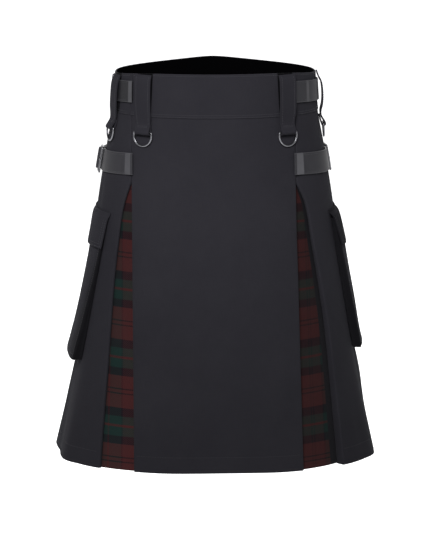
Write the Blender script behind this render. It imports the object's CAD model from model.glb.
# Utility kilt with tartan inserts in its pleats, hollow, in the shape it has when worn.
# Metres, Z up, front toward -Y. Every cloth piece is laid on one worn outline, so layers keep apart.
import math
from bisect import bisect_right
import bpy
import bmesh
from mathutils import Matrix, Vector, noise


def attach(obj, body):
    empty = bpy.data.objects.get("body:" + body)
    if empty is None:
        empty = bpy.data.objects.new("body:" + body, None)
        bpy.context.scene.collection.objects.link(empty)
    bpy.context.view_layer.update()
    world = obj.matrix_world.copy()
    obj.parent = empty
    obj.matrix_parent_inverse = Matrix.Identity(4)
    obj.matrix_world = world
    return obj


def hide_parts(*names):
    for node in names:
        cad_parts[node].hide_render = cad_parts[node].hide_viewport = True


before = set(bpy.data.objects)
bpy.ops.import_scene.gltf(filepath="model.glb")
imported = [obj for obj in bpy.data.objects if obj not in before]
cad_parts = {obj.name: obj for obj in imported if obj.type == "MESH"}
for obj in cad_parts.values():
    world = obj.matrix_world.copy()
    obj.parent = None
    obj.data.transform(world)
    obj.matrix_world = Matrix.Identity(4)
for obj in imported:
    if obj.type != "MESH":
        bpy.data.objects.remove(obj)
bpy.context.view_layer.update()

cameraSettings = {
    "location": (-0.20667, -5.57021, 0.70941),
    "target": (-0.00048, 0.0, -0.30988),
    "lens": 166.88,
}


def addCamera(settings):
    data = bpy.data.cameras.new("camera")
    data.sensor_fit = "VERTICAL"
    data.sensor_height = 24
    data.lens = settings["lens"]
    data.clip_end = 50
    camera = bpy.data.objects.new("camera", data)
    bpy.context.scene.collection.objects.link(camera)
    camera.location = settings["location"]
    look = Vector(settings["target"]) - camera.location
    camera.rotation_euler = look.to_track_quat("-Z", "Y").to_euler()
    bpy.context.scene.camera = camera


addCamera(cameraSettings)
print("camera placed")

# Worn outline: height, half width, front depth, back depth, power of the oval
formRows = [
    (0.010, 0.1498, 0.111, 0.115, 2.20),
    (0.000, 0.1503, 0.112, 0.116, 2.20),
    (-0.066, 0.1550, 0.119, 0.124, 2.20),
    (-0.120, 0.1650, 0.127, 0.137, 2.24),
    (-0.200, 0.1780, 0.139, 0.152, 2.28),
    (-0.320, 0.1940, 0.156, 0.167, 2.34),
    (-0.450, 0.2140, 0.173, 0.180, 2.40),
    (-0.600, 0.2460, 0.191, 0.194, 2.46),
]
# Large drape: place (share of the half outline, left negative), reach, starting height, depth
drapeRows = [
    (0.02, 0.10, -0.260, -0.0018), (0.13, 0.06, -0.200, 0.0014), (-0.12, 0.07, -0.220, 0.0018),
    (0.40, 0.05, -0.240, 0.0035), (0.50, 0.05, -0.300, -0.0030), (0.60, 0.05, -0.260, 0.0030),
    (-0.37, 0.05, -0.230, 0.0040), (-0.46, 0.05, -0.260, -0.0035), (-0.56, 0.06, -0.280, 0.0035),
    (0.80, 0.06, -0.220, 0.0030), (-0.77, 0.06, -0.240, 0.0032), (0.98, 0.05, -0.260, 0.0025),
]
# Soft creases: share and height of the middle, half width, half height, lean, depth
creaseRows = [
    (-0.330, -0.215, 0.016, 0.075, 0.05, -0.0009), (-0.290, -0.240, 0.018, 0.090, 0.03, 0.0008),
    (-0.180, -0.330, 0.030, 0.120, -0.08, -0.0008), (-0.060, -0.400, 0.034, 0.140, 0.06, 0.0011),
    (0.060, -0.300, 0.028, 0.130, -0.05, -0.0009), (0.150, -0.430, 0.030, 0.120, 0.07, 0.0010),
    (0.230, -0.250, 0.020, 0.080, -0.04, -0.0009), (0.000, -0.155, 0.075, 0.022, 0.00, -0.0006),
    (0.120, -0.185, 0.060, 0.018, 0.10, 0.0005), (-0.140, -0.170, 0.060, 0.016, -0.08, 0.0005),
    (0.450, -0.180, 0.018, 0.050, 0.10, -0.0012), (0.520, -0.520, 0.016, 0.070, 0.06, 0.0016),
    (-0.430, -0.190, 0.018, 0.050, -0.10, -0.0012), (-0.510, -0.505, 0.018, 0.080, -0.05, 0.0016),
    (0.585, -0.200, 0.020, 0.070, 0.08, 0.0014), (-0.600, -0.210, 0.020, 0.080, -0.07, 0.0013),
    (0.740, -0.300, 0.016, 0.110, 0.05, -0.0013), (0.720, -0.470, 0.018, 0.090, -0.06, 0.0014),
    (-0.730, -0.330, 0.017, 0.120, -0.05, -0.0013), (-0.860, -0.450, 0.018, 0.090, 0.05, 0.0013),
    (0.870, -0.380, 0.016, 0.110, 0.04, 0.0012), (0.990, -0.480, 0.018, 0.080, -0.03, -0.0012),
    (0.500, -0.465, 0.060, 0.075, 0.00, 0.0050), (-0.268, -0.240, 0.012, 0.110, 0.02, 0.0007),
]
bandHeight = -0.066
hemHeight = -0.590
fellHeight = -0.178
outlineSteps = 240


def lerp(a, b, t):
    return a + (b - a) * t


def clamp(value, low=0.0, high=1.0):
    return max(low, min(high, value))


def spread(first, last, steps):
    return [lerp(first, last, i / steps) for i in range(steps + 1)]


def readRows(rows, height, column):
    # One column of a table at a height, along a smooth curve through its rows
    last = len(rows) - 1
    i = 0
    while i < last - 1 and height < rows[i + 1][0]:
        i += 1
    a, b = rows[i], rows[i + 1]
    before, after = rows[max(i - 1, 0)], rows[min(i + 2, last)]
    span = b[0] - a[0]
    t = clamp((height - a[0]) / span)
    slopeA = (b[column] - before[column]) / (b[0] - before[0]) * span
    slopeB = (after[column] - a[column]) / (after[0] - a[0]) * span
    return ((2 * t**3 - 3 * t**2 + 1) * a[column] + (t**3 - 2 * t**2 + t) * slopeA
            + (3 * t**2 - 2 * t**3) * b[column] + (t**3 - t**2) * slopeB)


def signedPower(value, power):
    return math.copysign(abs(value) ** power, value)


outlines = {}


def outlineAt(height):
    # Half outline from front centre round the +X side to back centre, with its arc lengths
    key = round(height, 6)
    if key not in outlines:
        half, front, back, power = (readRows(formRows, height, c) for c in (1, 2, 3, 4))
        xs, ys, arcs = [], [], []
        for k in range(outlineSteps + 1):
            angle = math.pi * k / outlineSteps
            depth = front if k < outlineSteps / 2 else back
            xs.append(half * signedPower(math.sin(angle), 2 / power) if 0 < k < outlineSteps else 0.0)
            ys.append(-depth * signedPower(math.cos(angle), 2 / power))
            arcs.append(arcs[-1] + math.hypot(xs[k] - xs[k - 1], ys[k] - ys[k - 1]) if k else 0.0)
        outlines[key] = {"half": half, "front": front, "back": back, "power": power, "xs": xs,
                         "ys": ys, "arcs": arcs, "length": arcs[-1], "side": arcs[outlineSteps // 2]}
    return outlines[key]


def arcAtX(height, x):
    outline = outlineAt(height)
    k = 1
    while outline["xs"][k] < abs(x):
        k += 1
    t = (abs(x) - outline["xs"][k - 1]) / (outline["xs"][k] - outline["xs"][k - 1])
    return math.copysign(lerp(outline["arcs"][k - 1], outline["arcs"][k], t), x)


def drapeAt(height, share):
    # Drape and creases move every layer together
    out = 0.0
    for place, reach, start, depth in drapeRows:
        away = abs(share - place)
        away = min(away, 2 - away) / reach
        fall = max(0.0, (start - height) / (start - hemHeight))
        if away < 1 and fall > 0:
            out += depth * fall * fall * (1 - away * away) ** 2
    for place, middle, wide, tall, lean, depth in creaseRows:
        up = (height - middle) / tall
        if abs(up) < 1:
            away = abs(share - place - lean * (height - middle))
            away = min(away, 2 - away) / wide
            if away < 1:
                out += depth * (1 - up * up) ** 2 * (1 - away * away) ** 2
    return out


def onForm(height, arc, out):
    # Point at a height, an arc length from front centre and a distance outward
    outline = outlineAt(height)
    if arc > outline["length"]:
        arc -= 2 * outline["length"]
    if arc < -outline["length"]:
        arc += 2 * outline["length"]
    length = abs(arc)
    low = min(bisect_right(outline["arcs"], length) - 1, outlineSteps - 1)
    t = (length - outline["arcs"][low]) / (outline["arcs"][low + 1] - outline["arcs"][low])
    x = lerp(outline["xs"][low], outline["xs"][low + 1], t)
    y = lerp(outline["ys"][low], outline["ys"][low + 1], t)
    depth = outline["front"] if y < 0 else outline["back"]
    nx = signedPower(x / outline["half"], outline["power"] - 1) / outline["half"]
    ny = signedPower(y / depth, outline["power"] - 1) / depth
    push = (out + drapeAt(height, arc / outline["length"])) / math.hypot(nx, ny)
    return Vector((math.copysign(1, arc) * (x + nx * push), y + ny * push, height))


# Cloth thickness and how the panels meet; inner faces lie on the second material
cloth = {
    "wall": 0.0020, "bandWall": 0.0030, "insertWall": 0.0015, "pocketWall": 0.0018,
    "returnWidth": 0.022, "insertTuck": 0.017, "closedGap": 0.0006,
    "foldRound": 0.0019, "rowStep": 0.0062, "columnStep": 0.0050, "tuckUnder": 0.0005,
    "settStep": 0.037, "insertTop": -0.120, "insertGap": 0.00235, "foldAtTop": 0.004,
    "apronWide": 0.26, "sideWide": 0.20, "backWide": 0.09, "cutSpare": 1.02,
}
apronRows = [(0.0, -0.1275, 0.116), (-0.170, -0.1295, 0.1175), (-0.600, -0.1285, 0.127)]
# Front pleats: depth of the folds at the hem, and the width of the opening down its length
frontPleats = {
    "left": {"sign": -1, "apronDepth": 0.005, "panelDepth": 0.006, "opening": [
        (-0.162, 0.0), (-0.204, 0.017), (-0.255, 0.027), (-0.310, 0.0355), (-0.380, 0.042),
        (-0.450, 0.0475), (-0.520, 0.053), (-0.600, 0.058)]},
    "right": {"sign": 1, "apronDepth": 0.005, "panelDepth": 0.015, "opening": [
        (-0.164, 0.0), (-0.199, 0.018), (-0.256, 0.030), (-0.312, 0.0425), (-0.364, 0.0525),
        (-0.408, 0.0585), (-0.459, 0.063), (-0.600, 0.071)]},
}
# Back pleats: place of the middle at the band and at the hem, as a share of the half outline
backPleats = [
    {"name": "%s_%s" % (side, place), "sign": sign, "atBand": atBand, "atHem": atHem,
     "hemWidth": hemWidth, "depth": depth}
    for side, sign, place, atBand, atHem, hemWidth, depth in (
        ("right", 1, "outer", 0.672, 0.632, 0.026, 0.009),
        ("right", 1, "middle", 0.803, 0.776, 0.024, 0.010),
        ("right", 1, "inner", 0.934, 0.924, 0.022, 0.009),
        ("left", -1, "inner", 0.934, 0.924, 0.025, 0.009),
        ("left", -1, "middle", 0.803, 0.776, 0.023, 0.010),
        ("left", -1, "outer", 0.672, 0.632, 0.027, 0.009))
]


def openShare(height):
    return clamp((fellHeight - height) / (fellHeight - hemHeight))


def apronEdge(height, sign):
    return arcAtX(height, readRows(apronRows, height, 1 if sign < 0 else 2))


def panelFront(height, pleat):
    width = readRows(pleat["opening"], height, 1)
    return apronEdge(height, pleat["sign"]) + pleat["sign"] * (cloth["closedGap"] + width)


def backEdges(height, pleat):
    # Both edges of a back pleat's opening, counted on round the back for the left ones
    down = (bandHeight - height) / (bandHeight - hemHeight)
    middle = pleat["sign"] * lerp(pleat["atBand"], pleat["atHem"], down) * outlineAt(height)["length"]
    half = (cloth["closedGap"] + pleat["hemWidth"] * openShare(height)) / 2
    return middle - half, middle + half


def wrapEdges(height, pleat):
    turn = 2 * outlineAt(height)["length"] if pleat["sign"] < 0 else 0.0
    return [arc + turn for arc in backEdges(height, pleat)]


def foldDepth(height, hemDepth):
    return lerp(cloth["foldAtTop"], hemDepth, openShare(height))


def roundCorner(corner, start, finish, radius):
    # Points of a small arc that replaces a corner of a path
    toStart, toFinish = (start - corner).normalized(), (finish - corner).normalized()
    a, b = corner + toStart * radius, corner + toFinish * radius
    return [a.lerp(corner, t).lerp(corner.lerp(b, t), t) for t in (0.0, 0.25, 0.5, 0.75, 1.0)]


def foldedPanel(left, right, leftDepth, rightDepth, steps):
    # Middle line of a panel folded back behind itself at both edges, as (arc, out)
    wall = cloth["wall"]
    inLeft, inRight, middle = left + wall / 2, right - wall / 2, -wall / 2
    wide = cloth["returnWidth"]
    line = [Vector((left + wide * share, -leftDepth)) for share in (1, 0.6, 0.3)]
    foot, head = Vector((inLeft, -leftDepth)), Vector((inLeft, middle))
    rounding = min(cloth["foldRound"], (leftDepth - wall / 2) * 0.49)
    line += roundCorner(foot, line[-1], head, rounding)
    line += roundCorner(head, foot, Vector((inRight, middle)), rounding)
    line += [Vector((arc, middle)) for arc in spread(inLeft + 0.004, inRight - 0.004, steps)]
    foot, head = Vector((inRight, -rightDepth)), Vector((inRight, middle))
    end = [Vector((right - wide * share, -rightDepth)) for share in (0.3, 0.6, 1)]
    rounding = min(cloth["foldRound"], (rightDepth - wall / 2) * 0.49)
    line += roundCorner(head, Vector((inLeft, middle)), foot, rounding)
    line += roundCorner(foot, head, end[0], rounding)
    return line + end


def insertLine(left, right, leftDepth, rightDepth):
    # Middle line of an insert, tucked behind the folds on both sides of its opening
    tuck, back = cloth["insertTuck"], cloth["insertGap"]
    start, finish = -leftDepth - back, -rightDepth - back
    line = [Vector((left - tuck * share, start)) for share in (1, 0.6, 0.25)]
    line += [Vector((arc, lerp(start, finish, (arc - left) / (right - left))))
             for arc in spread(left, right, 12)]
    return line + [Vector((right + tuck * share, finish)) for share in (0.25, 0.6, 1)]


sheets = []


def newPiece(name, bm, looks, slotName, body="kilt"):
    mesh = bpy.data.meshes.new(name)
    bm.to_mesh(mesh)
    bm.free()
    for polygon in mesh.polygons:
        polygon.use_smooth = True
    piece = bpy.data.objects.new(name, mesh)
    bpy.context.scene.collection.objects.link(piece)
    for look in looks:
        mesh.materials.append(look)
    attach(piece, body)
    return piece


def giveWall(piece, wall, edge, segments=2, angle=50):
    solid = piece.modifiers.new("wall", "SOLIDIFY")
    solid.thickness = wall
    solid.offset = 0
    solid.use_even_offset = True
    solid.material_offset = 1
    rounding = piece.modifiers.new("edge", "BEVEL")
    rounding.width = edge
    rounding.segments = segments
    rounding.limit_method = "ANGLE"
    rounding.angle_limit = math.radians(angle)
    rounding.harden_normals = True


def layGrid(rows, columns, placeAt):
    # A grid whose points are put where placeAt(row, column) says; it also gives their UV in metres
    bm = bmesh.new()
    bmesh.ops.create_grid(bm, x_segments=columns - 1, y_segments=rows - 1, size=1)
    layer = bm.loops.layers.uv.new("cloth")
    uvs = {}
    for vert in bm.verts:
        column = round((vert.co.x + 1) / 2 * (columns - 1))
        row = round((vert.co.y + 1) / 2 * (rows - 1))
        vert.co, uvs[vert] = placeAt(row, column)
    for face in bm.faces:
        for loop in face.loops:
            loop[layer].uv = uvs[loop.vert]
    return bm


def hangCloth(name, node, bm, looks, wall, edge, flat, slotName="black_cotton", area=None, **walls):
    # A sheet of cloth: its wall, the node that it stands for, its flat width and length
    area = area or sum(face.calc_area() for face in bm.faces)
    piece = newPiece(name, bm, looks, slotName)
    giveWall(piece, wall, edge, **walls)
    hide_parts(node)
    sheets.append((piece, *flat, area))


def lineLengths(line):
    lengths = [0.0]
    for a, b in zip(line, line[1:]):
        lengths.append(lengths[-1] + (b - a).length)
    return lengths


def skirtRows(top, foot, step):
    return spread(foot, top, max(2, round((top - foot) / step)))


def clothPiece(name, node, heights, lineAt, wall, looks, slotName="black_cotton", uvAt=None,
               edge=0.0006):
    # Cloth through a middle line at each height, rows from the hem up so that faces point outwards
    lines = [lineAt(height) for height in heights]
    lengths = [lineLengths(line) for line in lines]
    columns = len(lines[0])

    def placeAt(row, column):
        arc, out = lines[row][column]
        across = uvAt(heights[row], arc) if uvAt else lengths[row][column] - lengths[row][-1] / 2
        return onForm(heights[row], arc, out), (across, heights[row])

    widest = max(total[-1] for total in lengths)
    drop = sum(math.hypot(b - a, (onForm(b, 0, 0) - onForm(a, 0, 0)).y)
               for a, b in zip(heights, heights[1:]))
    hangCloth(name, node, layGrid(len(heights), columns, placeAt), looks, wall, edge,
              (widest, drop), slotName)


def declareSheets():
    # The cut of each panel: its widest row by its length down the front, and its flat area
    for piece, widest, drop, area in sheets:
        flat = (round(widest, 4), round(drop * cloth["cutSpare"], 4))
        print("sheet", piece.name, flat, "area", round(area, 4))


def columnsFor(width):
    return max(4, round(width / cloth["columnStep"]))


def buildPanels(looks):
    skirtTop = bandHeight + cloth["tuckUnder"]
    heights = skirtRows(skirtTop, hemHeight, cloth["rowStep"])
    left, right = frontPleats["left"], frontPleats["right"]
    columns = columnsFor(cloth["sideWide"])
    clothPiece("apronCloth", "apron", heights, lambda h: foldedPanel(
        apronEdge(h, -1), apronEdge(h, 1), foldDepth(h, left["apronDepth"]),
        foldDepth(h, right["apronDepth"]), columnsFor(cloth["apronWide"])), cloth["wall"], looks)
    for side, pleat in frontPleats.items():
        rear = next(row for row in backPleats if row["name"] == side + "_outer")

        def sideLine(h):
            front, rearEdges = panelFront(h, pleat), backEdges(h, rear)
            frontDepth, rearDepth = foldDepth(h, pleat["panelDepth"]), foldDepth(h, rear["depth"])
            if pleat["sign"] > 0:
                return foldedPanel(front, rearEdges[0], frontDepth, rearDepth, columns)
            return foldedPanel(rearEdges[1], front, rearDepth, frontDepth, columns)

        clothPiece("sidePanelCloth_" + side, "side_panel_" + side, heights, sideLine,
                   cloth["wall"], looks)
    for i, (pleat, following) in enumerate(zip(backPleats, backPleats[1:])):
        clothPiece("backPanelCloth_%d" % (i + 1), "back_panel_%d" % (i + 1), heights,
                   lambda h: foldedPanel(
                       wrapEdges(h, pleat)[1], wrapEdges(h, following)[0], foldDepth(h, pleat["depth"]),
                       foldDepth(h, following["depth"]), columnsFor(cloth["backWide"])),
                   cloth["wall"], looks)
    print("panels laid")


def buildInserts(looks):
    heights = skirtRows(cloth["insertTop"], hemHeight, cloth["rowStep"])
    for side, pleat in frontPleats.items():

        def frontLine(h):
            edge, panel = apronEdge(h, pleat["sign"]), panelFront(h, pleat)
            atApron, atPanel = foldDepth(h, pleat["apronDepth"]), foldDepth(h, pleat["panelDepth"])
            if pleat["sign"] > 0:
                return insertLine(edge, panel, atApron, atPanel)
            return insertLine(panel, edge, atPanel, atApron)

        clothPiece("frontInsertTartan_" + side, "front_insert_" + side, heights, frontLine,
                   cloth["insertWall"], looks[side], "tartan_cloth",
                   uvAt=lambda h, arc: arc - apronEdge(h, pleat["sign"]), edge=0.0004)
    for i, pleat in enumerate(backPleats):

        def backLine(h):
            edges, depth = wrapEdges(h, pleat), foldDepth(h, pleat["depth"])
            return insertLine(edges[0], edges[1], depth, depth)

        clothPiece("backInsertTartan_" + pleat["name"], "back_insert_" + pleat["name"], heights,
                   backLine, cloth["insertWall"], looks["left"], "tartan_cloth", edge=0.0004,
                   uvAt=lambda h, arc: arc - sum(wrapEdges(h, pleat)) / 2 + cloth["settStep"] * i)
    print("tartan inserts laid")


# Sewing: stitch length, space between two, width and height of the thread, distances from the edges
stitch = {
    "long": 0.0027, "gap": 0.0009, "wide": 0.00046, "high": 0.00034, "lift": 0.00006, "hemRise": 0.024,
    "edgeInset": 0.0022, "bandLines": (0.0030, 0.0604, 0.0637), "bandInset": 0.003, "loopInset": 0.0036,
    "flapInsets": (0.0032, 0.0088), "pocketInset": 0.0055, "strapInset": 0.0030,
}
sewn = {}


def sewLine(group, points, outs):
    # A row of small stitches along a line on the cloth
    lengths, pitch, i = lineLengths(points), stitch["long"] + stitch["gap"], 0
    bm = bmesh.new()
    for k in range(int(lengths[-1] / pitch)):
        at = (k + 0.5) * pitch
        while lengths[i + 1] < at:
            i += 1
        t = (at - lengths[i]) / (lengths[i + 1] - lengths[i])
        along = (points[i + 1] - points[i]).normalized()
        out = outs[i].lerp(outs[i + 1], t).normalized()
        across = out.cross(along).normalized()
        sizes = (along * stitch["long"] / 2, across * stitch["wide"] / 2,
                 along.cross(across) * stitch["high"] / 2)
        middle = points[i].lerp(points[i + 1], t) + out * stitch["lift"]
        bmesh.ops.create_icosphere(bm, subdivisions=1, radius=1, matrix=Matrix.Translation(middle)
                                   @ Matrix(sizes).transposed().to_4x4())
    mesh = bpy.data.meshes.new(group)
    bm.to_mesh(mesh)
    bm.free()
    sewn.setdefault(group, []).append(mesh)


def sewSpots(group, spots, placeAt):
    # placeAt(spot, lift) gives the face of the cloth and points above it
    points = [placeAt(spot, 0.0) for spot in spots]
    sewLine(group, points, [placeAt(spot, 0.001) - point for spot, point in zip(spots, points)])


def joinStitches(look, darkLook):
    for group, meshes in sewn.items():
        bm = bmesh.new()
        for mesh in meshes:
            bm.from_mesh(mesh)
            bpy.data.meshes.remove(mesh)
        print("stitches", group, len(bm.faces), "faces")
        thread = darkLook if group in ("hemThread", "pleatThread") else look
        newPiece(group, bm, [thread], "black_leather" if group == "strapThread" else "black_cotton")


def panelFolds():
    # Left and right fold of each panel, as functions of the height
    folds = [lambda h: (apronEdge(h, -1), apronEdge(h, 1))]
    for side, pleat in frontPleats.items():
        rear = next(row for row in backPleats if row["name"] == side + "_outer")
        if pleat["sign"] > 0:
            folds.append(lambda h, front=pleat, back=rear: (panelFront(h, front), backEdges(h, back)[0]))
        else:
            folds.append(lambda h, front=pleat, back=rear: (backEdges(h, back)[1], panelFront(h, front)))
    for pleat, following in zip(backPleats, backPleats[1:]):
        folds.append(lambda h, a=pleat, b=following: (wrapEdges(h, a)[1], wrapEdges(h, b)[0]))
    return folds


def sewPanels():
    # A hem line on each panel, and the pleats stitched down as far as they stay closed
    onFace = lambda spot, lift: onForm(*spot, lift)
    hem = hemHeight + stitch["hemRise"]
    for i, folds in enumerate(panelFolds()):
        left, right = folds(hem)
        spots = [(hem, arc) for arc in spread(left + 0.004, right - 0.004, columnsFor(right - left))]
        sewSpots("hemThread", spots, onFace)
        # The apron's edges hang free, and so do the side panels' front edges
        for k, inward in ((), ((0, 1),), ((1, -1),))[i] if i < 3 else ((0, 1), (1, -1)):
            spots = [(h, folds(h)[k] + inward * stitch["edgeInset"])
                     for h in spread(bandHeight - 0.004, fellHeight, 24)]
            sewSpots("pleatThread", spots, onFace)
    print("panels sewn")


# Waistband: over the apron in front, then all the way round behind
waistband = {
    "dip": 0.0080, "cutSpare": 1.03, "split": 0.0005, "edgeRound": 0.0012, "rows": 14,
    "columnStep": 0.005, "face": 0.001, "wave": 0.0003, "rimRound": 0.03,
}


def onBand(down, share, out):
    rough = outlineAt(bandHeight / 2)
    around = onForm(bandHeight / 2, share * rough["length"], 0)
    aside = min(1.0, abs(around.x) / rough["half"])
    if around.y < 0:
        dip = waistband["dip"] * aside ** 5
    else:
        level = math.sqrt((1 + waistband["rimRound"]) / (aside ** 2 + waistband["rimRound"]))
        dip = waistband["dip"] * math.sin(aside * math.pi / 2) * aside * level
    height = lerp(-dip, bandHeight, down)
    return onForm(height, share * outlineAt(height)["length"], out)


def bandOut(down, share):
    # Outer face of the band, a little uneven
    return waistband["face"] + waistband["wave"] * noise.noise(Vector((share * 22, down * 1.6, 3)))


def bandShare(sign):
    return apronEdge(bandHeight / 2, sign) / outlineAt(bandHeight / 2)["length"]


def buildWaistband(looks):
    wall, length = cloth["bandWall"], outlineAt(bandHeight / 2)["length"]
    parts = [("waistbandCloth_front", "waistband_front", bandShare(-1), bandShare(1)),
             ("waistbandCloth_back", "waistband_back", bandShare(1) + waistband["split"],
              2 + bandShare(-1) - waistband["split"])]
    for name, node, first, last in parts:
        columns = round((last - first) * length / waistband["columnStep"])
        shares, downs = spread(first, last, columns), spread(1, 0, waistband["rows"])

        def placeAt(row, column):
            share, down = shares[column], downs[row]
            return onBand(down, share, bandOut(down, share) - wall / 2), (share * length, bandHeight * down)

        cut = ((last - first) * length * waistband["cutSpare"], -bandHeight)
        hangCloth(name, node, layGrid(len(downs), len(shares), placeAt), looks, wall,
                  waistband["edgeRound"], cut, segments=3)
        inset = stitch["bandInset"] / length
        for drop in stitch["bandLines"]:
            down = -drop / bandHeight
            spots = [(down, share) for share in spread(first + inset, last - inset, columns)]
            sewSpots("bandThread", spots, lambda spot, lift: onBand(*spot, bandOut(*spot) + lift))
    print("waistband laid")


# Side pockets: distances along the cloth from the side line to their edges, top and foot
pocketRows = {
    "left": {"sign": -1, "frontTop": -0.076, "frontFoot": -0.066, "rearTop": 0.088, "rearFoot": 0.098,
             "foot": -0.440, "mouth": 0.0030, "bellows": 0.0165, "swell": 1.8, "fold": 0.030},
    "right": {"sign": 1, "frontTop": -0.058, "frontFoot": -0.046, "rearTop": 0.100, "rearFoot": 0.106,
              "foot": -0.428, "mouth": 0.0055, "bellows": 0.0150, "swell": 0.6, "fold": 0.004},
}
pocketShape = {
    "top": -0.226, "flapTop": -0.213, "flapFoot": -0.268, "bellowsHeight": -0.440, "near": 0.00045,
    "overhang": 0.003, "round": 0.0024, "gusset": 0.0016, "puff": 0.0012, "columns": 34, "footRise": 0.004,
    "gussetEdge": 0.0050, "gussetSoft": 0.004, "foldTop": -0.290, "foldReach": 0.12, "edgeRound": 0.0005,
    "mouthHem": 0.017, "flapRound": 0.0007, "flapWave": 0.0009, "flapDip": 0.0004, "flapCut": 0.95,
}


def pocketArc(height, row, edge):
    down = (pocketShape["top"] - height) / (pocketShape["top"] - row["foot"])
    reach = lerp(row[edge + "Top"], row[edge + "Foot"], down)
    return row["sign"] * (outlineAt(height)["side"] + reach)


def pocketDepth(height, row):
    down = (pocketShape["top"] - height) / (pocketShape["top"] - pocketShape["bellowsHeight"])
    return lerp(row["mouth"], row["bellows"], clamp(down) ** row["swell"])


def pocketBulge(row, height, arc, middle):
    # How far the face swells: middle runs from 0 at the sides to 1 half way across
    rise = clamp((height - row["foot"]) / 0.03)
    swell = pocketShape["puff"] * math.sin(math.pi * clamp(middle)) * rise
    return swell + 0.0010 * noise.noise(Vector((arc * 22, height * 16, 5 + row["sign"])))


def pocketLine(height, row):
    # Across the pocket: up one gusset, over the face, down the other gusset
    wall = cloth["pocketWall"]
    left = pocketArc(height, row, "front") + row["sign"] * wall / 2
    right = pocketArc(height, row, "rear") - row["sign"] * wall / 2
    left, right = min(left, right), max(left, right)
    near, far = pocketShape["near"] + wall / 2, pocketDepth(height, row) - wall / 2
    rounding = min(pocketShape["round"], (far - near) * 0.4)
    fold = min(pocketShape["gusset"], (far - near) * 0.12)
    side = [(0.0, 0.0), (0.25, 0.8), (0.45, 1.0)]
    line = [Vector((left + fold * inward, lerp(near, far, up))) for up, inward in side]
    top, other = Vector((left, far)), Vector((right, far))
    line += roundCorner(top, line[-1], other, rounding)
    line += [Vector((arc, far)) for arc in spread(left + 0.007, right - 0.007, pocketShape["columns"])]
    finish = [Vector((right - fold * inward, lerp(near, far, up))) for up, inward in reversed(side)]
    line += roundCorner(other, top, finish[0], rounding)
    return line + finish


def shadePocket(bm, row):
    # The gussets lie in their own shade, and so does the face where it folds in above the foot
    layer, shaded = bm.loops.layers.uv.active, bm.verts.layers.float.new("shaded")
    for loop in (loop for face in bm.faces for loop in face.loops):
        arc, height = loop[layer].uv
        lowered = clamp((pocketShape["foldTop"] - height) / pocketShape["foldReach"])
        soft = pocketShape["gussetSoft"]
        for edge, width in (("front", lerp(soft, row["fold"], lowered)), ("rear", soft)):
            past = abs(arc - pocketArc(height, row, edge)) - pocketShape["gussetEdge"]
            loop.vert[shaded] = max(loop.vert[shaded], clamp(1 - past / width))


def buildPocket(side, row, looks):
    wall, rise = cloth["pocketWall"], pocketShape["footRise"]
    foot, near = row["foot"] + wall / 2, pocketShape["near"] + wall / 2
    heights = spread(foot, foot + rise, 4) + spread(foot + 0.009, pocketShape["top"], 34)
    lineAt = [pocketLine(height, row) for height in heights]
    columns = len(lineAt[0])

    def placeAt(gridRow, column):
        # Two extra rows close the foot against the panel
        height = heights[max(gridRow - 2, 0)]
        arc, out = lineAt[max(gridRow - 2, 0)][column]
        tuck = {0: 0.0, 1: 0.55}.get(gridRow, lerp(0.86, 1.0, clamp((height - foot) / rise)) ** 0.5)
        even = lerp(lineAt[0][0].x, lineAt[0][-1].x, column / (columns - 1))
        arc = lerp(even, arc, tuck)
        bulge = 0.0
        if out > pocketDepth(height, row) - 0.002 and gridRow > 3:
            bulge = pocketBulge(row, height, arc, 1 - abs(column / (columns - 1) * 2 - 1))
        return (onForm(height, arc, lerp(near, out + bulge, tuck)),
                (arc, height - (2 - min(gridRow, 2)) * 0.006))

    bm = layGrid(len(heights) + 2, columns, placeAt)
    shadePocket(bm, row)
    wide = abs(lineLengths(lineAt[20])[-1])
    hangCloth("pocketCloth_" + side, "pocket_" + side, bm, looks, wall, pocketShape["edgeRound"],
              (wide, pocketShape["top"] - row["foot"] + pocketShape["mouthHem"]))
    return wide


def buildFlap(side, row, looks, wide):
    top, flapTop, flapFoot = pocketShape["top"], pocketShape["flapTop"], pocketShape["flapFoot"]
    half = lerp(top, flapFoot, 0.5)
    points = smoothLine([Vector(p) for p in (
        (flapTop, 0.0014), (flapTop - 0.005, 0.0020), (top + 0.002, pocketDepth(top, row) + 0.0015),
        (half, pocketDepth(half, row) + 0.0024), (flapFoot, pocketDepth(flapFoot, row) + 0.0030))], 5)
    shares, lengths = spread(0, 1, 36), lineLengths(points)

    def flapSpot(height, out, share, lift=0.0):
        front = pocketArc(height, row, "front") - row["sign"] * pocketShape["overhang"]
        rear = pocketArc(height, row, "rear") + row["sign"] * pocketShape["overhang"]
        wave = pocketShape["flapWave"] * math.sin(share * 9 + 1.3 * row["sign"])
        wave = max(wave * clamp((flapTop - height) / 0.07), -pocketShape["flapDip"])
        arc = lerp(front, rear, share)
        return onForm(height, arc, out + wave + lift), (arc, height)

    def flapAt(gridRow, column):
        height, out = points[len(points) - 1 - gridRow]
        return flapSpot(height, out, shares[column] if row["sign"] > 0 else 1 - shares[column])

    hangCloth("pocketFlapCloth_" + side, "pocket_flap_" + side, layGrid(len(points), len(shares), flapAt),
              looks, cloth["wall"], pocketShape["flapRound"], (wide * pocketShape["flapCut"], lengths[-1]),
              segments=3)
    for inset in stitch["flapInsets"]:
        near, low = inset / wide, lengths[-1] - inset
        down = [point for point, length in zip(points, lengths) if 0.010 < length < low]
        foot = next(point for point, length in zip(points, lengths) if length >= low - 0.002)
        spots = [(*point, near) for point in down]
        spots += [(*foot, share) for share in spread(near, 1 - near, 30)]
        spots += [(*point, 1 - near) for point in reversed(down)]
        sewSpots("flapThread_" + side, spots,
                 lambda spot, lift: flapSpot(*spot, lift + cloth["wall"] / 2)[0])


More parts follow.
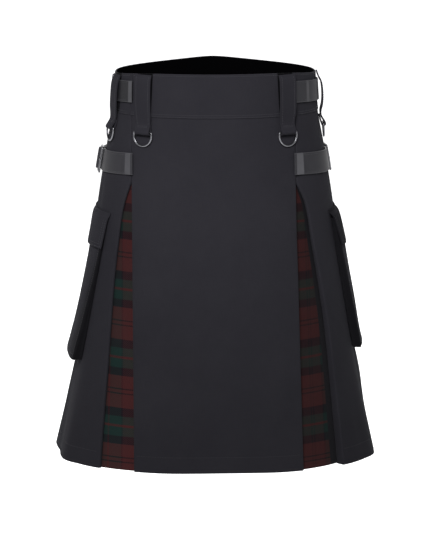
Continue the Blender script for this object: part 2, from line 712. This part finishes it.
def sewPocket(side, row):
    def faceSpot(spot, lift):
        height, arc, middle = spot
        return onForm(height, arc, pocketDepth(height, row) + pocketBulge(row, height, arc, middle) + lift)

    inset, low = row["sign"] * stitch["pocketInset"], row["foot"] + 0.008
    for edge, inward in (("front", inset), ("rear", -inset)):
        spots = [(height, pocketArc(height, row, edge) + inward, 0.33)
                 for height in spread(low, pocketShape["flapFoot"] + 0.004, 30)]
        sewSpots("pocketThread_" + side, spots, faceSpot)
    first, last = pocketArc(low, row, "front") + inset, pocketArc(low, row, "rear") - inset
    spots = [(low, lerp(first, last, share), 1 - abs(lerp(0.33, 1.67, share) - 1))
             for share in spread(0, 1, 34)]
    sewSpots("pocketThread_" + side, spots, faceSpot)


def buildPockets(looks, flapLooks):
    for side, row in pocketRows.items():
        wide = buildPocket(side, row, looks)
        buildFlap(side, row, flapLooks[side], wide)
        sewPocket(side, row)
    print("pockets and flaps laid")


def smoothLine(points, steps):
    # A smooth curve through the points of a path
    line = []
    for i in range(len(points) - 1):
        a, b = points[i], points[i + 1]
        before, after = points[max(i - 1, 0)], points[min(i + 2, len(points) - 1)]
        for t in spread(0, 1, steps)[:-1]:
            line.append(0.5 * (2 * a + (b - before) * t + (2 * before - 5 * a + 4 * b - after) * t**2
                               + (3 * a - before - 3 * b + after) * t**3))
    return line + [points[-1]]


# Belt loops: place along the waist, how far they stand off, whether a ring hangs below
loopRows = {
    "front_left": {"x": -0.109, "standOff": 0.0062, "ring": True},
    "front_right": {"x": 0.102, "standOff": 0.0062, "ring": True},
    "side_left": {"share": -0.42, "standOff": 0.0066, "ring": True, "top": -0.0090},
    "side_right": {"share": 0.49, "standOff": 0.0095, "ring": True, "top": -0.0090},
    "back_left": {"share": -0.80, "standOff": 0.0062, "ring": False, "top": -0.0085},
    "back_right": {"share": 0.80, "standOff": 0.0062, "ring": False, "top": -0.0085},
}
loopShape = {
    "width": 0.0285, "tabWidth": 0.0252, "barHeight": -0.088, "barOut": 0.0051, "columns": 10,
    "top": -0.0032, "tack": -0.0790, "plainTack": -0.080, "belly": 0.0004, "edgeRound": 0.0006,
    "cutShare": 0.94,
}
ringShape = {"wire": 0.0028, "width": 0.034, "arm": 0.005, "corner": 0.0015, "sides": 12}


def loopArc(row, height):
    return arcAtX(height, row["x"]) if "x" in row else row["share"] * outlineAt(height)["length"]


def loopFrame(row):
    # Straight out of the cloth at the foot of the band, and along it
    arc = loopArc(row, bandHeight)
    out = (onForm(bandHeight, arc, 0.001) - onForm(bandHeight, arc, 0)).normalized()
    return out, Vector((-out.y, out.x, 0))


def loopBelly(across):
    return loopShape["belly"] * (1 - (2 * across / loopShape["width"]) ** 2)


def onLoop(row, across, height, reach):
    out, along = loopFrame(row)
    narrow = loopShape["tabWidth"] / loopShape["width"]
    width = lerp(1, narrow, clamp((-0.060 - height) / 0.016))
    return onForm(height, loopArc(row, height), 0) + out * reach + along * (across * width)


def loopPath(row):
    stand, top = row["standOff"], row.get("top", loopShape["top"])
    line = [(top, 0.00235), (top - 0.0038, 0.0034), (top - 0.0088, 0.0051),
            (-0.026, lerp(0.0051, stand, 0.8)), (-0.042, stand), (-0.057, lerp(0.0042, stand, 0.7))]
    if not row["ring"]:
        line += [(-0.066, 0.004), (-0.072, 0.0021), (-0.084, 0.0019)]
        return smoothLine([Vector(p) for p in line], 5)
    line += [(-0.069, 0.0041), (-0.077, 0.00375), (-0.0834, 0.0063)]
    radius = ringShape["wire"] / 2 + 0.0005 + cloth["wall"] / 2
    for degrees in (25, 0, -25, -50, -75, -100, -125, -150, -170):
        angle = math.radians(degrees)
        line.append((loopShape["barHeight"] + radius * math.sin(angle),
                     loopShape["barOut"] + radius * math.cos(angle)))
    line += [(-0.0825, 0.0016), (-0.076, 0.0014)]
    return smoothLine([Vector(p) for p in line], 4)


def buildLoops(looks):
    for name, row in loopRows.items():
        path = loopPath(row)
        lengths = lineLengths(path)
        acrossAll = spread(loopShape["width"] / 2, -loopShape["width"] / 2, loopShape["columns"])

        def placeAt(line, column):
            height, reach = path[line]
            across = acrossAll[column]
            return onLoop(row, across, height, reach + loopBelly(across)), (across, -lengths[line])

        hangCloth("beltLoopCloth_" + name, "belt_loop_" + name, layGrid(len(path), len(acrossAll), placeAt),
                  looks, cloth["wall"], loopShape["edgeRound"],
                  (loopShape["width"], lengths[-1] / cloth["cutSpare"]), segments=3, angle=60,
                  area=loopShape["width"] * lengths[-1] * loopShape["cutShare"])
        sewLoop(row, path)
    print("belt loops laid")


def coveredPlaces():
    # Middle and half width of each loop on the band, counted on round the back for the left ones
    middle, places = bandHeight / 2, []
    for row in loopRows.values():
        arc = loopArc(row, middle)
        turn = 0.0 if arc > 0 or "x" in row else 2 * outlineAt(middle)["length"]
        places.append((arc + turn, loopShape["width"] / 2))
    return places


def sewLoop(row, path):
    # A line of stitches near both edges and two short rows that hold the foot
    out, _ = loopFrame(row)
    half = loopShape["width"] / 2 - stitch["loopInset"]
    foot = loopShape["tack" if row["ring"] else "plainTack"]

    def loopSpot(spot, lift):
        i, across = spot
        (height, reach), (nextHeight, nextReach) = path[i], path[i + 1]
        away = (out * (height - nextHeight) + Vector((0, 0, nextReach - reach))).normalized()
        return onLoop(row, across, height, reach + loopBelly(across)) + away * (cloth["wall"] / 2 + lift)

    last = next(i for i, point in enumerate(path) if point.x < foot)
    for across in (-half, half):
        sewSpots("loopThread", [(i, across) for i in range(3, last)], loopSpot)
    for i in (last, last - 1):
        sewSpots("loopThread", [(i, across) for across in spread(-half, half, 6)], loopSpot)


def wireSections(bm, points, radii, flat, sides, closed):
    # Round wire: a circle at each point, bridged to the next; open ends are closed
    rings, count = [], len(points)
    for i, point in enumerate(points):
        before = points[i - 1] if i or closed else point
        after = points[(i + 1) % count] if i < count - 1 or closed else point
        ahead = (after - before).normalized()
        toHere = (point - before).normalized() if (point - before).length else ahead
        inward = ahead.cross(flat).normalized()
        mitre = 1 / max(ahead.dot(toHere), 0.7)
        basis = Matrix((inward * mitre, flat, ahead)).transposed().to_4x4()
        made = bmesh.ops.create_circle(bm, segments=sides, radius=radii[i],
                                       matrix=Matrix.Translation(point) @ basis)
        verts = set(made["verts"])
        rings.append([edge for edge in bm.edges if edge.verts[0] in verts])
    pairs = list(zip(rings, rings[1:])) + ([(rings[-1], rings[0])] if closed else [])
    for a, b in pairs:
        bmesh.ops.bridge_loops(bm, edges=a + b)
    if not closed:
        for ring in (rings[0], rings[-1]):
            bmesh.ops.contextual_create(bm, geom=ring)


def standUp(place, reach, lean):
    # Matrix that runs z up the lean and x as near the reach as it can
    z = lean.normalized()
    y = z.cross(reach).normalized()
    return Matrix.Translation(place) @ Matrix((y.cross(z), y, z)).transposed().to_4x4()


def finishMetal(name, bm, stand, look, node, body):
    bmesh.ops.remove_doubles(bm, verts=bm.verts, dist=0.00001)
    bmesh.ops.recalc_face_normals(bm, faces=bm.faces)
    bmesh.ops.transform(bm, matrix=stand, verts=bm.verts)
    piece = newPiece(name, bm, [look], "dark_metal", body)
    piece.data.set_sharp_from_angle(angle=math.radians(50))
    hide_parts(node)


def buildRings(look):
    flat = Vector((0, 1, 0))
    half = ringShape["width"] / 2 - ringShape["wire"] / 2
    corner, arm = ringShape["corner"], ringShape["arm"]
    for name, row in loopRows.items():
        if not row["ring"]:
            continue
        line = [Vector((x, 0, 0)) for x in spread(-half + corner, half - corner, 6)]
        line += [Vector((half - corner * 0.3, 0, -corner * 0.3)), Vector((half, 0, -corner))]
        line += [Vector((half * math.cos(a), 0, -arm - half * math.sin(a))) for a in spread(0, math.pi, 28)]
        line += [Vector((-half, 0, -corner)), Vector((-half + corner * 0.3, 0, -corner * 0.3))]
        bm = bmesh.new()
        wireSections(bm, line, [ringShape["wire"] / 2] * len(line), flat, ringShape["sides"], True)
        _, along = loopFrame(row)
        place = onLoop(row, 0, loopShape["barHeight"], loopShape["barOut"])
        lean = place - onLoop(row, 0, loopShape["barHeight"] - arm - half, 0.0023)
        stand = standUp(place, along, lean - along * lean.dot(along))
        finishMetal("ringMetal_" + name, bm, stand, look, "d_ring_" + name, "ring_" + name)
    print("rings bent")


# Leather straps: height of the middle, distance of the buckle from the side line
strapRows = {
    "upper_left": {"sign": -1, "height": -0.030, "face": 0.001, "buckle": 0.044, "ramp": 0.0006,
                   "shine": (0.000, 0.0085), "gloss": 0.60, "tone": 0.55},
    "upper_right": {"sign": 1, "height": -0.030, "face": 0.001, "buckle": 0.062, "ramp": 0.0006,
                    "shine": (0.027, 0.034), "gloss": 0.45, "tone": 0.95},
    "lower_left": {"sign": -1, "height": -0.136, "face": 0.0, "buckle": 0.012, "ramp": 0.0014,
                   "shine": (0.003, 0.0155), "gloss": 0.55, "tone": 1.0},
    "lower_right": {"sign": 1, "height": -0.136, "face": 0.0, "buckle": 0.034, "ramp": 0.0018,
                    "shine": (0.003, 0.0185), "gloss": 0.80, "tone": 1.05},
}
leather = {"width": 0.032, "wall": 0.0022, "restGap": 0.00045, "underApron": 0.005, "chape": 0.046,
           "edgeRound": 0.0007, "rampLength": 0.016, "wave": 0.0005, "tilt": 0.055, "crown": 0.00025,
           "chapeEnd": ((0.005, 0.0024), (0.009, 0.0018), (0.015, 0.0010), (0.026, 0.0004)),
           "unpolished": (-9.0, -8.0)}
buckleShape = {"wire": 0.003, "long": 0.026, "corner": 0.0018, "postAhead": 0.0072, "bar": 0.0049,
               "rise": 0.0067, "sides": 12}


def fromSide(row, height, arc, out):
    return onForm(height, row["sign"] * (outlineAt(height)["side"] + arc), out)


def leatherGrid(name, node, heights, path, pointAt, looks, sign, shine):
    # Strap leather over a path; rows run up the strap's width. Its UV map runs from 0 to 1
    # over the polished stretch, and from -1 to 1 across the strap
    order = list(range(len(path)))[::1 if sign > 0 else -1]
    lengths = lineLengths(path)

    def placeAt(row, column):
        height = heights[row]
        along, out = path[order[column]]
        up = row / (len(heights) - 1) * 2 - 1
        out += leather["crown"] * (1 - abs(up) ** 4)
        polished = (lengths[order[column]] - shine[0]) / (shine[1] - shine[0])
        return pointAt(height, along, out), (polished, up)

    piece = newPiece(name, layGrid(len(heights), len(path), placeAt), looks, "black_leather")
    giveWall(piece, leather["wall"], leather["edgeRound"], segments=3, angle=60)
    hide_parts(node)


def buildStraps(looks):
    half = leather["width"] / 2
    for name, row in strapRows.items():
        rest = row["face"] + leather["restGap"] + leather["wall"] / 2
        heights = spread(row["height"] - half, row["height"] + half, 12)
        start = lambda h: abs(apronEdge(h, row["sign"])) - leather["underApron"]
        end = lambda h: outlineAt(h)["side"] + row["buckle"]
        length = end(row["height"]) - start(row["height"])
        path = []
        for along in spread(0, length, round(length / 0.004)):
            ramp = row["ramp"] * (1 - clamp(along / leather["rampLength"])) ** 1.2
            wave = leather["wave"] * max(0.0, noise.noise(Vector((along * 34, row["height"] * 50, 2))))
            path.append(Vector((along, rest + ramp + wave * clamp(along / 0.02))))

        def strapAt(h, along, out):
            arc = row["sign"] * lerp(start(h), end(h), along / length)
            return onForm(h - leather["tilt"] * along, arc, out)

        leatherGrid("strapLeather_" + name, "strap_" + name, heights, path, strapAt, looks[name],
                    row["sign"], row["shine"])
        for h in (heights[0] + stitch["strapInset"], heights[-1] - stitch["strapInset"]):
            spots = [point for point in path if 0.009 < point.x < length - 0.003]
            sewSpots("strapThread", spots, lambda spot, lift: strapAt(
                h, spot.x, spot.y + leather["wall"] / 2 + 0.00013 + lift))
        rearHeights = [h - leather["tilt"] * length for h in heights]
        rise, bar = row["face"] + buckleShape["rise"], row["buckle"] + buckleShape["bar"]
        wrap = buckleShape["wire"] / 2 + 0.0008 + leather["wall"] / 2
        chape = [Vector((arc, rest)) for arc in spread(bar + leather["chape"], bar + 0.008, 10)]
        for degrees in range(-80, -310, -18):
            angle = math.radians(degrees)
            chape.append(Vector((bar + wrap * math.cos(angle), rise + wrap * math.sin(angle))))
        chape += [Vector((bar + past, rest + leather["wall"] + up)) for past, up in leather["chapeEnd"]]
        leatherGrid("buckleStrapLeather_" + name, "buckle_strap_" + name, rearHeights, chape,
                    lambda h, arc, out: fromSide(row, h, arc, out), looks[name], -row["sign"],
                    leather["unpolished"])
    print("straps laid")


def buildBuckles(look):
    flat, size = Vector((0, 1, 0)), buckleShape
    tall, long, corner = leather["width"] / 2 + size["wire"] / 2 + 0.0016, size["long"], size["corner"]
    for name, row in strapRows.items():
        corners = [(0, -tall), (0, tall), (long, tall), (long, -tall)]
        line = []
        for i, here in enumerate(corners):
            before, after = Vector(corners[i - 1]), Vector(corners[(i + 1) % 4])
            line += roundCorner(Vector(here), before, after, corner * 1.6)
        frameLine = [Vector((-row["sign"] * p.x, 0, p.y)) for p in line]
        bm = bmesh.new()
        wireSections(bm, frameLine, [size["wire"] / 2] * len(frameLine), flat, size["sides"], True)
        ahead = -row["sign"] * size["postAhead"]
        post = [Vector((ahead, 0, z)) for z in spread(-tall, tall, 4)]
        wireSections(bm, post, [0.0012] * 5, flat, 10, False)
        prongLong = long - size["postAhead"] + 0.001
        prong = [Vector((ahead - row["sign"] * prongLong * t, -0.0013, 0))
                 for t in (0, 0.04, 0.5, 0.92, 0.98, 1)]
        wireSections(bm, prong, [0.0011, 0.0013, 0.00125, 0.0011, 0.0008, 0.0003], flat, 10, False)
        bar = row["buckle"] + size["bar"]
        rise = row["face"] + size["rise"]
        middle = row["height"] - leather["tilt"] * (
            outlineAt(row["height"])["side"] + row["buckle"]
            - abs(apronEdge(row["height"], row["sign"])) + leather["underApron"])
        place = fromSide(row, middle, bar, rise)
        front = fromSide(row, middle, bar - long,
                         row["face"] + leather["restGap"] + leather["wall"] + 0.0022)
        half = leather["width"] / 2
        lean = fromSide(row, middle + half, bar, rise) - fromSide(row, middle - half, bar, rise)
        stand = standUp(place, (place - front) * row["sign"], lean)
        finishMetal("buckleMetal_" + name, bm, stand, look, "buckle_" + name, "kilt")
    print("buckles made")


class Val:
    # Wraps a socket so that shader maths reads as plain expressions

    def __init__(self, tree, socket):
        self.tree, self.socket = tree, socket

    def math(self, operation, *others):
        node = self.tree.nodes.new("ShaderNodeMath")
        node.operation = operation
        for slotIn, value in zip(node.inputs, (self,) + others):
            if isinstance(value, Val):
                self.tree.links.new(value.socket, slotIn)
            else:
                slotIn.default_value = value
        return Val(self.tree, node.outputs[0])

    def constant(self, value):
        # A number as the first input, for the reflected operators
        node = self.tree.nodes.new("ShaderNodeValue")
        node.outputs[0].default_value = value
        return Val(self.tree, node.outputs[0])

    def __add__(self, other): return self.math("ADD", other)
    def __radd__(self, other): return self.math("ADD", other)
    def __sub__(self, other): return self.math("SUBTRACT", other)
    def __rsub__(self, other): return self.constant(other).math("SUBTRACT", self)
    def __mul__(self, other): return self.math("MULTIPLY", other)
    def __rmul__(self, other): return self.math("MULTIPLY", other)
    def __truediv__(self, other): return self.math("DIVIDE", other)
    def sin(self): return self.math("SINE")
    def fract(self): return self.math("FRACT")
    def absolute(self): return self.math("ABSOLUTE")
    def most(self, other): return self.math("MAXIMUM", other)
    def least(self, other): return self.math("MINIMUM", other)


class Look:
    # A material with helpers for its nodes

    def __init__(self, name):
        self.material = bpy.data.materials.new(name)
        self.material.use_nodes = True
        self.tree = self.material.node_tree
        self.shader = self.tree.nodes["Principled BSDF"]

    def node(self, kind, settings=None, output=0, **inputs):
        # Settings first, then the sockets by name or by position such as i0
        node = self.tree.nodes.new(kind)
        for key, value in (settings or {}).items():
            if key == "stops":
                ramp = node.color_ramp
                while len(ramp.elements) < len(value):
                    ramp.elements.new(0.5)
                for element, (place, colour) in zip(ramp.elements, value):
                    element.position = place
                    element.color = (*colour, 1)
            elif key == "interpolation":
                node.color_ramp.interpolation = value
            else:
                setattr(node, key, value)
        for key, value in inputs.items():
            socket = node.inputs[int(key[1:])] if key[1:].isdigit() else node.inputs[key.replace("_", " ")]
            if isinstance(value, Val):
                self.tree.links.new(value.socket, socket)
            else:
                socket.default_value = value
        return Val(self.tree, node.outputs[output])

    def mix(self, factor, a, b, blend="MIX"):
        # Mixes two colours; the Mix node's colour sockets are numbers 6 and 7
        return self.node("ShaderNodeMix", {"data_type": "RGBA", "blend_type": blend}, output=2,
                         i0=factor, i6=a if isinstance(a, Val) else (*a, 1),
                         i7=b if isinstance(b, Val) else (*b, 1))

    def uv(self):
        split = self.node("ShaderNodeSeparateXYZ", i0=self.node("ShaderNodeUVMap", {"uv_map": "cloth"}))
        return split, Val(self.tree, split.socket.node.outputs[1])

    def place(self):
        return self.node("ShaderNodeTexCoord", output=3)

    def noise(self, scale, detail=3, rough=0.5, where=None):
        return self.node("ShaderNodeTexNoise", Vector=where or self.place(), Scale=scale,
                         Detail=detail, Roughness=rough)

    def stretch(self, x, y, z, where=None):
        return self.node("ShaderNodeMapping", Vector=where or self.place(), Scale=(x, y, z))

    def set(self, **values):
        for key, value in values.items():
            socket = self.shader.inputs[key.replace("_", " ")]
            if isinstance(value, Val):
                self.tree.links.new(value.socket, socket)
            elif hasattr(value, "__len__"):
                socket.default_value = (*value, 1)
            else:
                socket.default_value = value

    def bump(self, height, strength, distance):
        self.set(Normal=self.node("ShaderNodeBump", Strength=strength, Distance=distance, Height=height))


cottonLook = {
    "base": (0.0185, 0.0178, 0.0228), "worn": (0.0285, 0.0275, 0.0335), "rough": 0.88,
    "sheen": 0.02, "specular": 0.05, "hemShade": 0.66, "fadeFrom": -0.12, "fadeTo": -0.60,
    "underLoop": 0.10, "inside": 0.06, "gusset": 0.30, "rightFlap": 0.5,
    "twillPitch": 0.0011, "twillDepth": 0.00022,
}


def makeCotton(name, settings, shade=1.0, covered=(), shaded=None):
    # Black cotton twill: diagonal ribs, slubs in both thread directions, a little fading.
    # It lies in deep shade where a loop covers it, and where its attribute says that it is shaded
    look = Look(name)
    across, down = look.uv()
    where = look.node("ShaderNodeUVMap", {"uv_map": "cloth"})
    ribs = ((across + down) * (math.tau / settings["twillPitch"])).sin() * 0.5 + 0.5
    fade = look.noise(7, 4, 0.6)
    slubDown = look.noise(1, 2, 0.5, look.stretch(900, 60, 900, where))
    slubAcross = look.noise(1, 2, 0.5, look.stretch(60, 900, 60, where))
    fibre = look.noise(2600, 1, 0.5)
    tone = clampVal(fade * 1.3 - 0.15 + (slubDown + slubAcross - 1) * 0.55 + (fibre - 0.5) * 0.35)
    base = [value * shade for value in settings["base"]]
    worn = [value * shade for value in settings["worn"]]
    colour = look.mix(tone, base, worn)
    colour = look.mix(ribs * 0.22, colour, [value * 0.55 for value in base])
    height = look.node("ShaderNodeSeparateXYZ", output=2, i0=look.place())
    low = look.node("ShaderNodeMapRange", {"interpolation_type": "SMOOTHSTEP"}, Value=height,
                    i1=settings["fadeFrom"], i2=settings["fadeTo"])
    colour = look.mix(low, colour, [settings["hemShade"]] * 3, "MULTIPLY")
    for place, half in covered:
        inside = clampVal((half - (across - place).absolute()) * 900)
        colour = look.mix(inside, colour, [settings["underLoop"]] * 3, "MULTIPLY")
    if shaded:
        folded = look.node("ShaderNodeAttribute", {"attribute_name": "shaded"}, output="Fac")
        colour = look.mix(folded, colour, [shaded] * 3, "MULTIPLY")
    look.set(Base_Color=colour, Roughness=(fibre * 0.10 + (settings["rough"] - 0.05)),
             Specular_IOR_Level=settings["specular"] * shade, Sheen_Weight=settings["sheen"] * shade,
             Sheen_Roughness=0.5, Sheen_Tint=(0.75, 0.75, 0.85))
    pucker = look.noise(55, 3, 0.55)
    relief = ribs * 0.55 + slubDown * 0.5 + slubAcross * 0.35 + pucker * 1.6
    look.bump(relief, 0.55, settings["twillDepth"])
    return look.material


def clampVal(value):
    return value.most(0.0).least(1.0)


# Setts charted by hand, upward from below the hem and outward from the apron: millimetres, thread
tartan = {
    "red": (0.0430, 0.0098, 0.0100), "green": (0.0052, 0.0185, 0.0160), "dark": (0.0048, 0.0030, 0.0055),
    "line": (0.0060, 0.0040, 0.0052), "rough": 0.88, "sheen": 0.05, "specular": 0.06,
    "threadPitch": 0.00075, "strip": (0.0065, 0.0062, 0.0080), "stripShare": 0.81,
    "warpShift": 0.021, "weftShift": 0.0947, "rightShade": 0.74,
    "weft": [("red", 20.0), ("line", 2.0), ("red", 4.5), ("line", 2.0), ("red", 18.5), ("dark", 12.0),
             ("green", 13.5), ("red", 3.5), ("green", 12.0), ("dark", 13.0)],
    "warp": [("red", 19.0), ("line", 1.8), ("red", 3.0), ("line", 1.8), ("red", 19.0), ("dark", 3.0),
             ("green", 22.0), ("red", 3.0), ("green", 22.0), ("dark", 3.0)],
}


def settRamp(look, rows, along, shift):
    # Colour of the threads of one direction, read from the sett
    total = sum(width for _, width in rows)
    stops, place = [], 0.0
    for colour, width in rows:
        stops.append((place / total, tartan[colour]))
        place += width
    return look.node("ShaderNodeValToRGB", {"stops": stops, "interpolation": "CONSTANT"},
                     Fac=((along + shift) / (total / 1000)).fract())


def makeTartan(name, acrossShift, shade=1.0, strip=None):
    # Twill tartan: the threads of both directions show in turn along steep diagonals. A strip is
    # the share of an opening, given with its rows, where the black underfold begins
    look = Look(name)
    across, down = look.uv()
    warp = settRamp(look, tartan["warp"], across, acrossShift)
    weft = settRamp(look, tartan["weft"], down, tartan["weftShift"])
    twill = ((across * 0.8 - down) / (tartan["threadPitch"] * 4)).fract()
    over = clampVal((twill - 0.5).absolute() * 9 - 1.35)
    cover = look.node("ShaderNodeMapRange", Value=over, i3=0.42, i4=0.94)
    colour = look.mix(cover, warp, weft)
    where = look.node("ShaderNodeUVMap", {"uv_map": "cloth"})
    yarn = look.noise(1, 2, 0.5, look.stretch(1300, 260, 1300, where))
    fuzz = look.noise(1500, 2, 0.6)
    fade = look.noise(16, 3, 0.6)
    colour = look.mix(clampVal((yarn - 0.35) * 0.9), colour, (0.006, 0.006, 0.008))
    colour = look.mix(clampVal(fade * 0.5 - 0.12) * 0.5, colour, (0.030, 0.026, 0.026))
    if shade != 1.0:
        colour = look.mix(1.0, colour, (shade, shade, shade), "MULTIPLY")
    if strip:
        # The ramp holds the strip's edge in decimetres down the first 60 cm
        share, rows = strip
        stops = [(-height / 0.6, [width * share * 10] * 3) for height, width in rows]
        edge = look.node("ShaderNodeValToRGB", {"stops": stops}, Fac=down / -0.6)
        colour = look.mix(clampVal((across * 10 - edge) * 120), colour, tartan["strip"])
    look.set(Base_Color=colour, Roughness=fuzz * 0.12 + (tartan["rough"] - 0.06),
             Specular_IOR_Level=tartan["specular"], Sheen_Weight=tartan["sheen"], Sheen_Roughness=0.45)
    look.bump(twill * 0.5 + yarn * 0.6 + fuzz * 0.3 + look.noise(60, 2) * 1.5, 0.5, 0.00025)
    return look.material


leatherLook = {
    "base": (0.0235, 0.0230, 0.0275), "worn": (0.0400, 0.0395, 0.0445), "rough": 0.52,
    "polished": (0.125, 0.124, 0.136), "border": (0.070, 0.070, 0.078),
    "coat": 0.04, "coatRough": 0.30, "specular": 0.14, "grain": 420.0,
}


def makeLeather(name, settings, gloss, shade):
    # Black belt leather: fine pebble grain, scuffs, a polished stretch where it bends, pale cut edges
    look = Look(name)
    along, side = look.uv()
    pebbles = look.node("ShaderNodeTexVoronoi", {"feature": "DISTANCE_TO_EDGE"}, Vector=look.place(),
                        Scale=settings["grain"])
    mottle = look.noise(38, 4, 0.6)
    scuff = look.noise(1, 3, 0.6, look.stretch(900, 900, 70))
    tone = clampVal(mottle * 0.9 - 0.2 + (scuff - 0.62).most(0.0) * 2.2)
    polish = clampVal(along * 12) * clampVal((1 - along) * 9) * clampVal(1.25 - mottle * 0.9) * gloss
    border = clampVal((side.absolute() - 0.90) * 14) * 0.6
    colour = look.mix(tone, [value * shade for value in settings["base"]],
                      [value * shade for value in settings["worn"]])
    colour = look.mix(polish, colour, settings["polished"])
    look.set(Base_Color=look.mix(border, colour, settings["border"]),
             Roughness=clampVal(mottle * 0.16 + (settings["rough"] - 0.08) - polish * 0.1),
             Specular_IOR_Level=settings["specular"], Coat_Weight=settings["coat"],
             Coat_Roughness=settings["coatRough"])
    look.bump(pebbles.least(0.35) * 0.8 + mottle * 0.9 + scuff * 0.15, 0.35, 0.0004)
    return look.material


metalLook = {"base": (0.20, 0.20, 0.215), "dark": (0.06, 0.06, 0.065), "rough": 0.27}


def makeMetal(name, settings):
    # Dark nickel plate with faint polishing marks and dulled hollows
    look = Look(name)
    polish = look.noise(1, 2, 0.5, look.stretch(300, 300, 2400))
    cloud = look.noise(160, 3, 0.6)
    look.set(Base_Color=look.mix(clampVal(cloud * 1.4 - 0.4), settings["base"], settings["dark"]),
             Metallic=1.0, Roughness=polish * 0.18 + cloud * 0.12 + (settings["rough"] - 0.12))
    look.bump(polish + cloud, 0.12, 0.0002)
    return look.material


threadLook = {"base": (0.0320, 0.0315, 0.0365), "shine": (0.0720, 0.0710, 0.0780), "rough": 0.6}
darkThreadLook = {"base": (0.0150, 0.0147, 0.0180), "shine": (0.0300, 0.0295, 0.0340), "rough": 0.7}


def makeThread(name, settings):
    # Twisted sewing thread
    look = Look(name)
    twist = look.noise(1, 1, 0.5, look.stretch(3000, 3000, 3000))
    look.set(Base_Color=look.mix(twist, settings["base"], settings["shine"]),
             Roughness=twist * 0.15 + (settings["rough"] - 0.08), Specular_IOR_Level=0.35)
    look.bump(twist, 0.4, 0.0002)
    return look.material


# Plain pale floor, soft light
stageSettings = {
    "floorHeight": -1.02, "floorColour": (0.86, 0.86, 0.87), "mottled": (0.84, 0.84, 0.85),
    "glow": 0.98, "world": 0.30, "aim": (0, 0, -0.3),
    "lamps": [
        ("keyLamp", (-0.75, -3.5, 2.1), 1.8, 182),
        ("sideLamp", (-3.0, -1.8, 1.2), 1.0, 3),
        ("backLamp", (0.6, 3.6, 1.6), 2.6, 60),
    ],
}


def buildStage(settings):
    bm = bmesh.new()
    bmesh.ops.create_circle(bm, cap_ends=True, segments=64, radius=30,
                            matrix=Matrix.Translation((0, 0, settings["floorHeight"])))
    mesh = bpy.data.meshes.new("floor")
    bm.to_mesh(mesh)
    bm.free()
    floor = bpy.data.objects.new("floor", mesh)
    bpy.context.scene.collection.objects.link(floor)
    look = Look("paleFloor")
    look.set(Base_Color=look.mix(look.noise(1.2, 3), settings["floorColour"], settings["mottled"]),
             Roughness=0.9, Specular_IOR_Level=0.1, Emission_Color=(1.0, 1.0, 1.0),
             Emission_Strength=settings["glow"])
    floor.visible_diffuse = False
    mesh.materials.append(look.material)
    world = bpy.data.worlds.new("studio")
    bpy.context.scene.world = world
    world.use_nodes = True
    world.node_tree.nodes["Background"].inputs[0].default_value = (1, 1, 1, 1)
    world.node_tree.nodes["Background"].inputs[1].default_value = settings["world"]
    for name, place, size, power in settings["lamps"]:
        data = bpy.data.lights.new(name, "AREA")
        data.shape = "DISK"
        data.size = size
        data.energy = power
        lamp = bpy.data.objects.new(name, data)
        bpy.context.scene.collection.objects.link(lamp)
        lamp.location = place
        aim = Vector(settings["aim"]) - lamp.location
        lamp.rotation_euler = aim.to_track_quat("-Z", "Y").to_euler()
    bpy.context.scene.view_settings.view_transform = "Standard"
    print("stage and lamps ready")


outerCotton = makeCotton("blackCotton", cottonLook)
innerCotton = makeCotton("innerCotton", cottonLook, shade=cottonLook["inside"])
insertLooks = {
    "left": [makeTartan("tartanCloth", tartan["warpShift"]), innerCotton],
    "right": [makeTartan("shadedTartan", 0.0, tartan["rightShade"],
                         (tartan["stripShare"], frontPleats["right"]["opening"])), innerCotton],
}
buildWaistband([makeCotton("bandCotton", cottonLook, covered=coveredPlaces()), innerCotton])
buildPanels([outerCotton, innerCotton])
buildInserts(insertLooks)
pocketCotton = makeCotton("pocketCotton", cottonLook, shaded=cottonLook["gusset"])
flapCotton = makeCotton("flapCotton", cottonLook, shade=cottonLook["rightFlap"])
buildPockets([pocketCotton, innerCotton],
             {"left": [outerCotton, innerCotton], "right": [flapCotton, innerCotton]})
buildLoops([outerCotton, outerCotton])
buildStraps({name: [makeLeather("leather_" + name, leatherLook, row["gloss"], row["tone"])] * 2
             for name, row in strapRows.items()})
darkNickel = makeMetal("darkNickel", metalLook)
buildRings(darkNickel)
buildBuckles(darkNickel)
sewPanels()
joinStitches(makeThread("seamThread", threadLook), makeThread("darkThread", darkThreadLook))
declareSheets()
buildStage(stageSettings)
